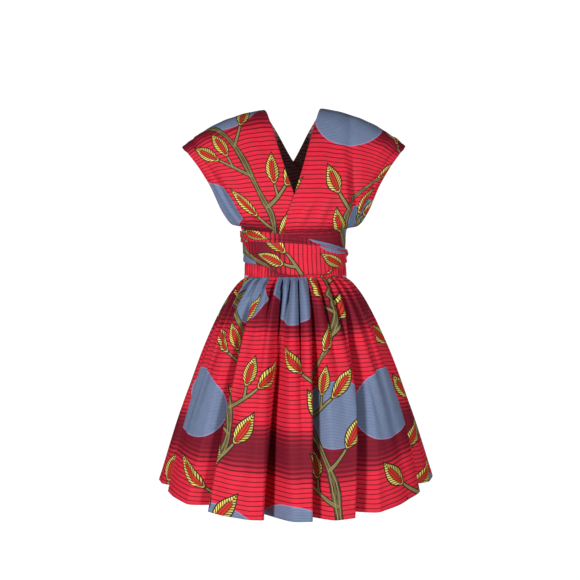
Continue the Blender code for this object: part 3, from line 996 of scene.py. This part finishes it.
@dataclass
class Sash:
    """A wide sash from the waistband over one shoulder, across the back to the other side."""

    name: str
    node: str
    side: int
    lift: float
    print_shift: tuple[float, float]
    flat_width: float = 0.225
    columns: int = 84
    rows: int = 240
    figure: Figure = field(default_factory=Figure)
    stretches: tuple[Stretch, ...] = (
        Stretch(1, -14, 1.01, 80, 1.01),
        Stretch(1, -13, 2, 79, 2),
        Stretch(1, -11, 3, 77, 3),
        Stretch(1, -8, 4, 70, 4),
        Stretch(1, -5.2, 5, 67, 5),
        Stretch(1, -1.2, 6, 68, 6),
        Stretch(1, 4.2, 7, 70, 7),
        Stretch(1, 8.2, 8, 74, 8),
        Stretch(1, 11.5, 9, 77, 9),
        Stretch(1, 13.2, 10, 80, 10),
        Stretch(1, 14.4, 11, 81, 11),
        Stretch(0, 13, 10, 80, 10),
        Stretch(0, 9.2, 9.1, 77, 9.1),
        Stretch(0, 3.8, 8.3, 72, 8.2),
        Stretch(0, -3.2, 7.6, 58, 7.0),
        Stretch(0, -17, 6.6, 40, 5.6),
        Stretch(0, -39, 5.4, 18, 4.1),
        Stretch(0, -64, 4.1, -12, 2.5),
        Stretch(0, -82, 3.3, -50, 1.6),
        Stretch(0, -92, 3.0, -92, 1.1),
    )
    creases: tuple[Crease, ...] = ()
    drag: float = 0.0006
    drape_from: float = 0.160
    drape_to: float = 0.88
    drape_blends: tuple[float, float] = (0.025, 0.03)
    tuck: float = 0.0011
    tuck_count: int = 9
    tuck_places: tuple[tuple[float, float], ...] = ((0.135, 0.05), (0.93, 0.06))
    edge_inset: int = 2

    def points(self) -> np.ndarray:
        """The sash's grid: edges read from its stretches, the rest between them on the figure."""
        table = np.array(self.stretches, float)
        position = np.linspace(0, len(table) - 1, self.rows)
        read = smooth_at(table[:, 1:], position)
        crest = int(np.argmin(table[:, 0])) - 1
        front = np.repeat((position <= crest)[:, None], self.columns, axis=1)
        width = np.linspace(0, 1, self.columns)
        degrees = read[:, 0:1] * (1 - width) + read[:, 2:3] * width
        level = np.minimum(read[:, 1:2] * (1 - width) + read[:, 3:4] * width, len(FRONT_LEVELS) - 1)
        return self.figure.points(front, level, degrees)

    def _drape(self) -> np.ndarray:
        """How far the creases move the cloth, with gathers at the tucks and slanting drag lines.

        A ridge is a bell about its line. A valley is sharp: (1 - |x| / 2w)^2 within 2w of it.
        """
        along = np.linspace(0, 1, self.rows)[:, None]
        across = np.linspace(0, 1, self.columns)[None, :]
        moved = np.zeros((self.rows, self.columns))
        for crease in self.creases:
            run = (along - crease.from_along) / (crease.to_along - crease.from_along)
            drift = crease.to_across - crease.from_across
            middle = crease.from_across + drift * np.clip(run, 0, 1)
            swell = np.sin(np.pi * np.clip(run * 0.9 + 0.05, 0, 1))
            off = across - middle
            sharp = np.clip(1 - np.abs(off) / (2 * crease.width), 0, 1) ** 2
            shape = sharp if crease.height < 0 else bell(off, crease.width)
            moved += crease.height * swell * shape
        turn = 2 * np.pi
        drag = np.sin(turn * (4.5 * across + 3.0 * along)) * np.sin(turn * (9 * along - 2 * across))
        moved += self.drag * self.side * (1 + self.side * drag)
        blend_in, blend_out = self.drape_blends
        moved *= np.clip((along - self.drape_from) / blend_in, 0, 1)
        moved *= np.clip((self.drape_to - along) / blend_out, 0, 1)
        tucks = folded_waves(turn * self.tuck_count * across + 2.0 * np.sin(5 * across))
        fade = sum(bell(along - middle, reach) for middle, reach in self.tuck_places)
        return moved + self.tuck * self.side * tucks * fade

    def build(self, wardrobe: Wardrobe) -> list[bpy.types.Object]:
        """Makes the sash and the stitching of its two narrow hems."""
        points = lifted(self.points(), self.lift + SHEET_LIFT + self._drape())
        way = walk(points).mean(axis=1)
        u = walk(points, axis=1) * self.side + self.print_shift[0]
        points = points * [self.side, 1, 1]
        if self.side < 0:
            points, u = points[:, ::-1], u[:, ::-1]
        points = lean(points)
        cloth = cloth_sheet(self.name, points, u, way[:, None] + self.print_shift[1], wardrobe)
        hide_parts(self.node)
        pieces = []
        for label, column in (("first", self.edge_inset), ("second", -1 - self.edge_inset)):
            line, normals = along_edge(points, column)
            name = f"{self.name}_{label}_edge_stitching"
            pieces.append(stitch_run(name, line, normals, wardrobe.thread))
        return [cloth, *pieces]


@dataclass
class Wrap:
    """A stretch of sash wound round the waist, with one long pleat standing over the rest."""

    name: str
    node: str
    turns: tuple[Turn, ...]
    lift: float
    print_shift: tuple[float, float]
    rests_on: str
    flat_width: float
    pleat_step: float = 0.0018
    pleat_drop: float = 0.0012
    hem_step: float = 0.0022
    top_level: float = 2.85
    rows_each: int = 16
    columns: int = 330
    pucker: float = 0.0011
    grow_from: float = 0.4
    round_off: tuple[float, float] = (0.0008, 0.0020)
    curl: float = 0.0022
    curl_from: float = 0.85
    calm_deg: float = 12
    side_calm: float = 0.7
    figure: Figure = field(default_factory=Figure)

    def points(self) -> tuple[np.ndarray, np.ndarray]:
        """The stretch's grid on the figure.

        Heights run from the top edge to the pleat and from just under it to the bottom edge. The
        lift grows as the square of the share down to the pleat, then in a line to the bottom.
        """
        table = np.array(self.turns, float)
        order = np.argsort(table[:, 0])
        degrees = np.linspace(self.turns[0].deg, self.turns[-1].deg, self.columns)
        at, heights = table[order, 0], table[order, 1:].T
        top, pleat, bottom = (np.interp(degrees, at, height) for height in heights)
        share = np.linspace(0, 1, self.rows_each)[None, :]
        upper = top[:, None] * (1 - share) + pleat[:, None] * share
        under = (pleat - self.pleat_drop)[:, None] * (1 - share) + bottom[:, None] * share
        height = np.hstack([upper, under])
        step = np.concatenate([self.pleat_step * share[0] ** 2, self.hem_step * share[0]])
        full = np.repeat(degrees[:, None], height.shape[1], axis=1)
        front, own = own_angle(full)
        level = self.figure.level_at(front, own, height)
        points = self.figure.points(front, np.minimum(level, self.top_level), own)
        points[..., 2] = height
        ripple = self._ripple(full, height, share[0])
        lift = self.lift + SHEET_LIFT + step[None, :] + ripple
        if degrees[-1] < degrees[0]:
            points, lift = points[:, ::-1], lift[:, ::-1]
        return lifted(points, lift), degrees

    def _ripple(self, degrees: np.ndarray, height: np.ndarray, share: np.ndarray) -> np.ndarray:
        """Small drag lines, slanting sine waves that grow away from the top edge, on round strips.

        They fade out at the stretch's two ends and at the sides, where the cloth is pulled flat.
        """
        turn = np.radians(degrees)
        waves = np.sin(26 * turn + 180 * height) + 0.6 * np.sin(61 * turn - 240 * height + 1.0)
        fold = np.sin(3 * np.pi * np.concatenate([share * 0.5, 0.5 + share])[None, :] + 2 * turn)
        grow = np.concatenate([share**2, self.grow_from + (1 - self.grow_from) * share])
        past = np.clip(share - self.curl_from, 0, 1) / (1 - self.curl_from)
        curl = np.concatenate([0 * share, past**2])
        arch = np.sin(np.pi * share)
        round_off = np.concatenate([self.round_off[0] * arch, self.round_off[1] * arch**0.7])
        first, last = self.turns[0].deg, self.turns[-1].deg
        from_end = np.minimum(np.abs(degrees - first), np.abs(degrees - last))
        at_side = np.abs(np.sin(turn)) ** 6
        calm = np.clip(from_end / self.calm_deg, 0, 1) * (1 - self.side_calm * at_side)
        lines = self.pucker * grow[None, :] * (0.5 + 0.22 * waves + 0.25 * fold)
        return (lines + round_off[None, :]) * calm - self.curl * curl[None, :]

    def build(self, wardrobe: Wardrobe) -> list[bpy.types.Object]:
        """Makes the stretch and the stitching of its lower edge."""
        points, degrees = self.points()
        backwards = degrees[-1] < degrees[0]
        way = walk(points).mean(axis=1)
        u = np.linspace(0, self.flat_width, points.shape[1])[None, :] + self.print_shift[0]
        u = u[:, ::-1] if backwards else u
        points = lean(points)
        cloth = cloth_sheet(self.name, points, u, way[:, None] + self.print_shift[1], wardrobe)
        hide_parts(self.node)
        line, normals = along_edge(points, 1 if backwards else -2)
        stitches = stitch_run(f"{self.name}_edge_stitching", line, normals, wardrobe.thread)
        return [cloth, stitches]


@dataclass
class Waistband:
    """The band gathered by the elastic inside it, puffed out below the wraps."""

    name: str = "waistband_cloth"
    node: str = "waistband"
    print_shift: tuple[float, float] = (0.262, 0.21)
    selvedge_rows: int = 3
    selvedge_deg: float = 82
    selvedge_half_deg: float = 16
    columns: int = 900
    rows: int = 26
    top_level: float = 0.99
    shirrs: int = 30
    fine_shirr: float = 0.0011
    cut_length: float = 0.95
    cut_height: float = 0.045
    figure: Figure = field(default_factory=Figure)
    levels: tuple[float, ...] = (0.0, 0.33, 0.66, 1.0)
    puffs: tuple[float, ...] = (0.0042, 0.0016, 0.0008, 0.0002)
    ripples: tuple[float, ...] = (0.0008, 0.0022, 0.0020, 0.0012)

    def build(self, wardrobe: Wardrobe) -> list[bpy.types.Object]:
        """Makes the band: the figure's ring moved out by puff + ripple (1 - cos) / 2 and shirring.

        A little of the pale selvedge shows along its lower edge at both sides.
        """
        degrees = np.linspace(-180, 180, self.columns, endpoint=False)
        level = np.linspace(self.top_level, 0.0, self.rows)
        full = np.repeat(degrees[:, None], self.rows, axis=1)
        front, own = own_angle(full)
        own = np.where(full == -180, 0.0, own)
        points = self.figure.points(front, np.repeat([level], self.columns, axis=0), own)
        turn = np.radians(full)
        puff, ripple = (np.interp(level, self.levels, row) for row in (self.puffs, self.ripples))
        wave = folded_waves(self.shirrs * turn + 0.6 * np.sin(4 * turn))
        fine = folded_waves(3 * self.shirrs * turn + 1.4 * np.sin(7 * turn) + 6 * level[None, :])
        small = self.fine_shirr * fine * np.sin(np.pi * np.clip(level, 0, 1)) ** 0.5
        away = points * [1, 1, 0]
        away /= np.linalg.norm(away, axis=-1, keepdims=True)
        points = lean(points + away * (SHEET_LIFT + puff + ripple * wave + small)[..., None])
        u = (FRONT_LEVELS[1].z_mid - SEAM_Z) * level[None, :] + self.print_shift[0]
        v = np.linspace(0, self.cut_length, self.columns + 1)[:, None] + self.print_shift[1]
        cloth = cloth_sheet(self.name, points, u, v, wardrobe, closed=True)
        at_side = np.abs(np.abs(full) - self.selvedge_deg) < self.selvedge_half_deg
        shown = at_side & (np.arange(self.rows) >= self.rows - self.selvedge_rows)
        lilac = cloth.data.attributes.new(SELVEDGE_MAP, "FLOAT", "POINT")
        lilac.data.foreach_set("value", shown.astype(float).ravel())
        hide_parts(self.node)
        return [cloth]


@dataclass
class BackTie:
    """The plain tie behind: a knot of bunched cloth and two loose ends under it."""

    half: tuple[float, float, float] = (0.029, 0.016, 0.022)
    centre_y: float = 0.1059
    centre_z: float = -0.362
    end_length: float = 0.25
    end_width: float = 0.062
    end_lift: float = 0.0016
    end_ripple: float = 0.0028
    end_bunch: float = 0.0012
    end_flat: tuple[float, float] = (0.068, 0.27)
    end_rows: int = 120
    end_columns: int = 40
    knot_rows: int = 120
    knot_columns: int = 61
    knot_cut: tuple[float, float] = (0.12, 0.16)
    knot_shift: tuple[float, float] = (0.09, 0.41)
    skirt: SkirtHalf = field(
        default_factory=lambda: SkirtHalf("tie_base", "skirt_back", 90.0, (0.0, 0.0))
    )

    def _end_points(self, side: int) -> np.ndarray:
        """One loose end: it leaves the knot, falls on the skirt's oval and lies in soft ripples.

        It is at the wearer's left for a side of 1 and at the right for -1. Its x spreads in a
        line from the knot, and y is the oval's depth sqrt(1 - (x / width)^2). The rows run from
        its hem up.
        """
        along = np.linspace(0, 1, self.end_rows)[:, None]
        across = np.linspace(-0.5, 0.5, self.end_columns)[None, :]
        width = self.end_width * (0.40 + 0.60 * np.clip(along * 2.2, 0, 1))
        x = side * (0.015 + 0.050 * along) + width * across
        oval = np.sqrt(np.clip(1 - (x[0:1] / self.half[0]) ** 2, 0.05, 1))
        under = self.half[2] * oval + 0.0017
        z = self.centre_z - under * (1 - along) - (self.end_length + self.half[2]) * along
        share = np.clip((SEAM_Z - z) / (SEAM_Z - self.skirt.hem_back_z), 0, 1)
        flare = share**self.skirt.flare_power
        half_width, depth = (BACK_LEVELS[0][k] + self.skirt.waist_allowance for k in (2, 3))
        half_width = half_width + (self.skirt.hem_half_width - half_width) * flare
        depth = depth + (self.skirt.hem_back_depth - depth) * flare
        on_skirt = depth * np.sqrt(1 - (x / half_width) ** 2) + self.end_lift
        ripple = self.end_ripple * (1 + np.cos(3 * np.pi * (across + 0.5)))
        off_knot = np.clip(1 - along / 0.2, 0, 1) ** 1.5
        y = on_skirt + ripple * np.clip(along * 4, 0, 1)
        y = y + (self.centre_y - on_skirt[0:1]) * off_knot
        bunch = 2 * self.end_bunch * folded_waves(8 * np.pi * (across + 0.5))
        y = y + bunch * np.clip(1 - along * 2.5, 0, 1)
        return np.stack(np.broadcast_arrays(x, y, z), axis=-1)[::-1, ::-1]

    def _knot(self, wardrobe: Wardrobe) -> bpy.types.Object:
        """The knot: an oval ball with a crossing band and bunched folds.

        With a round it and b from pole to pole, the radius is 0.90 + (0.09 band - 0.07 folds)
        cos(b)^0.5. The band is a bell about the slanting middle, and the folds are
        (1 - |sin|)^2 of slanting waves.
        """
        around = np.linspace(0, 2 * np.pi, self.knot_rows, endpoint=False)[:, None]
        down = np.linspace(-0.5 * np.pi, 0.5 * np.pi, self.knot_columns)[None, :]
        band = bell(down + 0.35 * np.sin(around), 0.34)
        folds = (1 - np.abs(np.sin(4.5 * down + 1.6 * np.sin(around + 0.6)))) ** 2
        radius = 0.90 + (0.09 * band - 0.07 * folds) * np.cos(down) ** 0.5
        direction = np.broadcast_arrays(
            np.sin(down), np.sin(around) * np.cos(down), np.cos(around) * np.cos(down)
        )
        points = np.stack(direction, axis=-1) * radius[..., None] * np.array(self.half)
        points = points + [0, self.centre_y, self.centre_z]
        u = np.linspace(0, self.knot_cut[0], self.knot_columns)[None, :] + self.knot_shift[0]
        v = np.linspace(0, self.knot_cut[1], self.knot_rows + 1)[:, None] + self.knot_shift[1]
        knot = cloth_sheet("tie_knot_cloth", points, u, v, wardrobe, closed=True)
        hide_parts("tie_knot")
        return knot

    def build(self, wardrobe: Wardrobe) -> list[bpy.types.Object]:
        """Makes the knot and the two ends."""
        knot = self._knot(wardrobe)
        pieces = [knot]
        for label, side in (("left", 1), ("right", -1)):
            points = lifted(self._end_points(side), SHEET_LIFT)
            u = np.linspace(0, 0.15, self.end_columns)[None, :] + 0.1 * side
            v = np.linspace(0, self.end_length, self.end_rows)[:, None] + 0.2 * side
            end = cloth_sheet(f"tie_end_{label}_cloth", points, u, v, wardrobe)
            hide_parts(f"tie_end_{label}")
            pieces.append(end)
        return pieces


@dataclass
class Studio:
    """Plain white studio: a pale floor far below, soft lamps and the photograph's camera."""

    distance: float = 2.5
    camera_x: float = -0.0132
    camera_z: float = -0.432
    view_width: float = 1.392
    floor_z: float = -2.3
    floor_radius: float = 3.2
    floor_rows: int = 96
    floor_columns: int = 12
    film_width: float = 36.0
    surround: float = 0.02
    lamps: tuple[tuple[str, tuple[float, float, float], float, float], ...] = (
        ("key_lamp", (-1.65, -2.3, -0.2), 0.5, 76.0),
        ("fill_lamp", (1.55, -2.4, -0.2), 0.5, 56.0),
        ("back_lamp", (0.6, 2.9, 0.1), 1.8, 100.0),
    )
    lamp_aim: tuple[float, float, float] = (0.0, 0.0, -0.4)

    def build(self) -> None:
        """Makes the camera, the lamps, the surround and the floor."""
        self._camera()
        for lamp in self.lamps:
            self._lamp(*lamp)
        self._surround()
        self._floor()

    def _camera(self) -> None:
        """A level camera whose field is view_width at the origin's depth."""
        camera = bpy.data.objects.new("camera", bpy.data.cameras.new("camera"))
        bpy.context.scene.collection.objects.link(camera)
        camera.location = (self.camera_x, -self.distance, self.camera_z)
        camera.rotation_euler = (math.pi / 2, 0, 0)
        camera.data.sensor_width = self.film_width
        camera.data.lens = self.film_width * self.distance / self.view_width
        bpy.context.scene.camera = camera

    def _lamp(
        self, name: str, place: tuple[float, float, float], size: float, watts: float
    ) -> None:
        """A square soft lamp that faces the middle of the dress."""
        lamp = bpy.data.objects.new(name, bpy.data.lights.new(name, "AREA"))
        bpy.context.scene.collection.objects.link(lamp)
        lamp.data.size = size
        lamp.data.energy = watts
        lamp.location = place
        aim = np.array(self.lamp_aim) - np.array(place)
        flat = math.hypot(aim[0], aim[1])
        heading = math.atan2(aim[1], aim[0]) - math.pi / 2
        lamp.rotation_euler = (math.atan2(flat, -aim[2]), 0, heading)

    def _surround(self) -> None:
        """White all round: full white behind the dress, and softer as the light that it gives."""
        world = bpy.data.worlds.new("white_surround")
        bpy.context.scene.world = world
        world.use_nodes = True
        tree = world.node_tree
        rays = tree.nodes.new("ShaderNodeLightPath")
        seen = Signal(tree, rays.outputs["Is Camera Ray"])
        strength = seen.math("MULTIPLY_ADD", 1.05 - self.surround, self.surround)
        set_inputs(tree.nodes["Background"], {0: (1.0, 1.0, 1.0, 1.0), 1: strength})
        bpy.context.scene.view_settings.view_transform = "Standard"

    def _floor(self) -> None:
        """A round pale floor, as a fan of rings about the middle."""
        around = np.linspace(0, 2 * np.pi, self.floor_rows, endpoint=False)[:, None]
        out = np.linspace(0.02, self.floor_radius, self.floor_columns)[None, :]
        place = np.broadcast_arrays(out * np.cos(around), out * np.sin(around), self.floor_z)
        faces = grid_faces(self.floor_rows, self.floor_columns, True)
        floor = new_mesh("studio_floor", np.stack(place, axis=-1)[:, ::-1], faces)
        paint, tree = new_material("studio_floor_paint")
        set_inputs(tree.nodes[SHADER], {"Base Color": (0.9, 0.9, 0.9, 1), "Roughness": 0.9})
        floor.data.materials.append(paint)


LOWER_TURNS = (
    Turn(100, -0.341, -0.352, -0.364),
    Turn(78, -0.339, -0.351, -0.367),
    Turn(44.5, -0.328, -0.349, -0.383),
    Turn(33, -0.324, -0.3485, -0.3965),
    Turn(-5, -0.312, -0.3485, -0.3985),
    Turn(-19, -0.310, -0.348, -0.394),
    Turn(-34, -0.308, -0.347, -0.377),
    Turn(-52, -0.307, -0.346, -0.372),
    Turn(-90, -0.305, -0.3445, -0.363),
    Turn(-120, -0.314, -0.345, -0.368),
    Turn(-150, -0.326, -0.351, -0.374),
    Turn(-172, -0.345, -0.361, -0.377),
)
UPPER_TURNS = (
    Turn(-100, -0.2885, -0.303, -0.316),
    Turn(-60, -0.291, -0.306, -0.3175),
    Turn(-25, -0.2995, -0.311, -0.3205),
    Turn(0, -0.3075, -0.316, -0.3235),
    Turn(25, -0.3175, -0.323, -0.3275),
    Turn(60, -0.331, -0.3355, -0.339),
    Turn(90, -0.337, -0.342, -0.346),
    Turn(120, -0.331, -0.344, -0.358),
    Turn(150, -0.333, -0.353, -0.372),
    Turn(172, -0.345, -0.361, -0.377),
)
LEFT_CREASES = (
    Crease(0.08, 0.16, 0.31, 0.20, 0.035, 0.0038),
    Crease(0.08, 0.38, 0.30, 0.34, 0.045, 0.0036),
    Crease(0.12, 0.82, 0.39, 0.28, 0.050, 0.0060),
    Crease(0.12, 0.96, 0.39, 0.38, 0.050, -0.0110),
    Crease(0.06, 0.94, 0.34, 0.86, 0.035, -0.0080),
    Crease(0.34, 0.40, 0.52, 0.20, 0.050, -0.0045),
    Crease(0.36, 0.66, 0.53, 0.80, 0.055, 0.0040),
    Crease(0.37, 0.86, 0.51, 0.97, 0.035, -0.0050),
    Crease(0.62, 0.30, 0.86, 0.45, 0.050, 0.0036),
    Crease(0.66, 0.75, 0.90, 0.70, 0.050, -0.0050),
)
RIGHT_CREASES = (
    Crease(0.08, 0.42, 0.29, 0.50, 0.045, 0.0036),
    Crease(0.08, 0.60, 0.38, 0.70, 0.045, 0.0050),
    Crease(0.10, 0.66, 0.38, 0.84, 0.045, -0.0110),
    Crease(0.06, 0.90, 0.32, 0.95, 0.035, -0.0080),
    Crease(0.32, 0.30, 0.52, 0.50, 0.055, -0.0045),
    Crease(0.36, 0.56, 0.52, 0.72, 0.055, 0.0036),
    Crease(0.38, 0.82, 0.53, 0.74, 0.040, -0.0050),
    Crease(0.62, 0.30, 0.86, 0.45, 0.050, -0.0040),
    Crease(0.66, 0.75, 0.90, 0.70, 0.050, -0.0040),
)


def pieces_of_dress() -> Sequence[object]:
    """The dress's sub-assemblies in the order a maker would join them."""
    return (
        SkirtHalf("skirt_front_cloth", "skirt_front", -90.0, (0.06, 0.18)),
        SkirtHalf("skirt_back_cloth", "skirt_back", 90.0, (1.18, 0.18)),
        Waistband(),
        Sash("sash_right_cloth", "sash_right", -1, 0.0, (0.62, 0.290), creases=RIGHT_CREASES),
        Sash("sash_left_cloth", "sash_left", 1, 0.0024, (0.99, 0.63), creases=LEFT_CREASES),
        Wrap(
            "wrap_lower_cloth", "wrap_lower", LOWER_TURNS, 0.0046, (0.10, 0.05),
            rests_on="sash_left", flat_width=0.075,
        ),
        Wrap(
            "wrap_upper_cloth", "wrap_upper", UPPER_TURNS, 0.0070, (0.24, 0.12),
            rests_on="wrap_lower", flat_width=0.030,
        ),
        BackTie(),
    )


def main() -> None:
    """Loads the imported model, finishes every piece over it, and lights it."""
    logging.basicConfig(level=logging.INFO, format="%(name)s: %(message)s")
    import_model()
    Studio().build()
    wardrobe = Wardrobe()
    for assembly in pieces_of_dress():
        for piece in assembly.build(wardrobe):
            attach(piece, "root")
            LOG.info("%s: %d points", piece.name, len(piece.data.vertices))


if __name__ == "__main__":
    main()
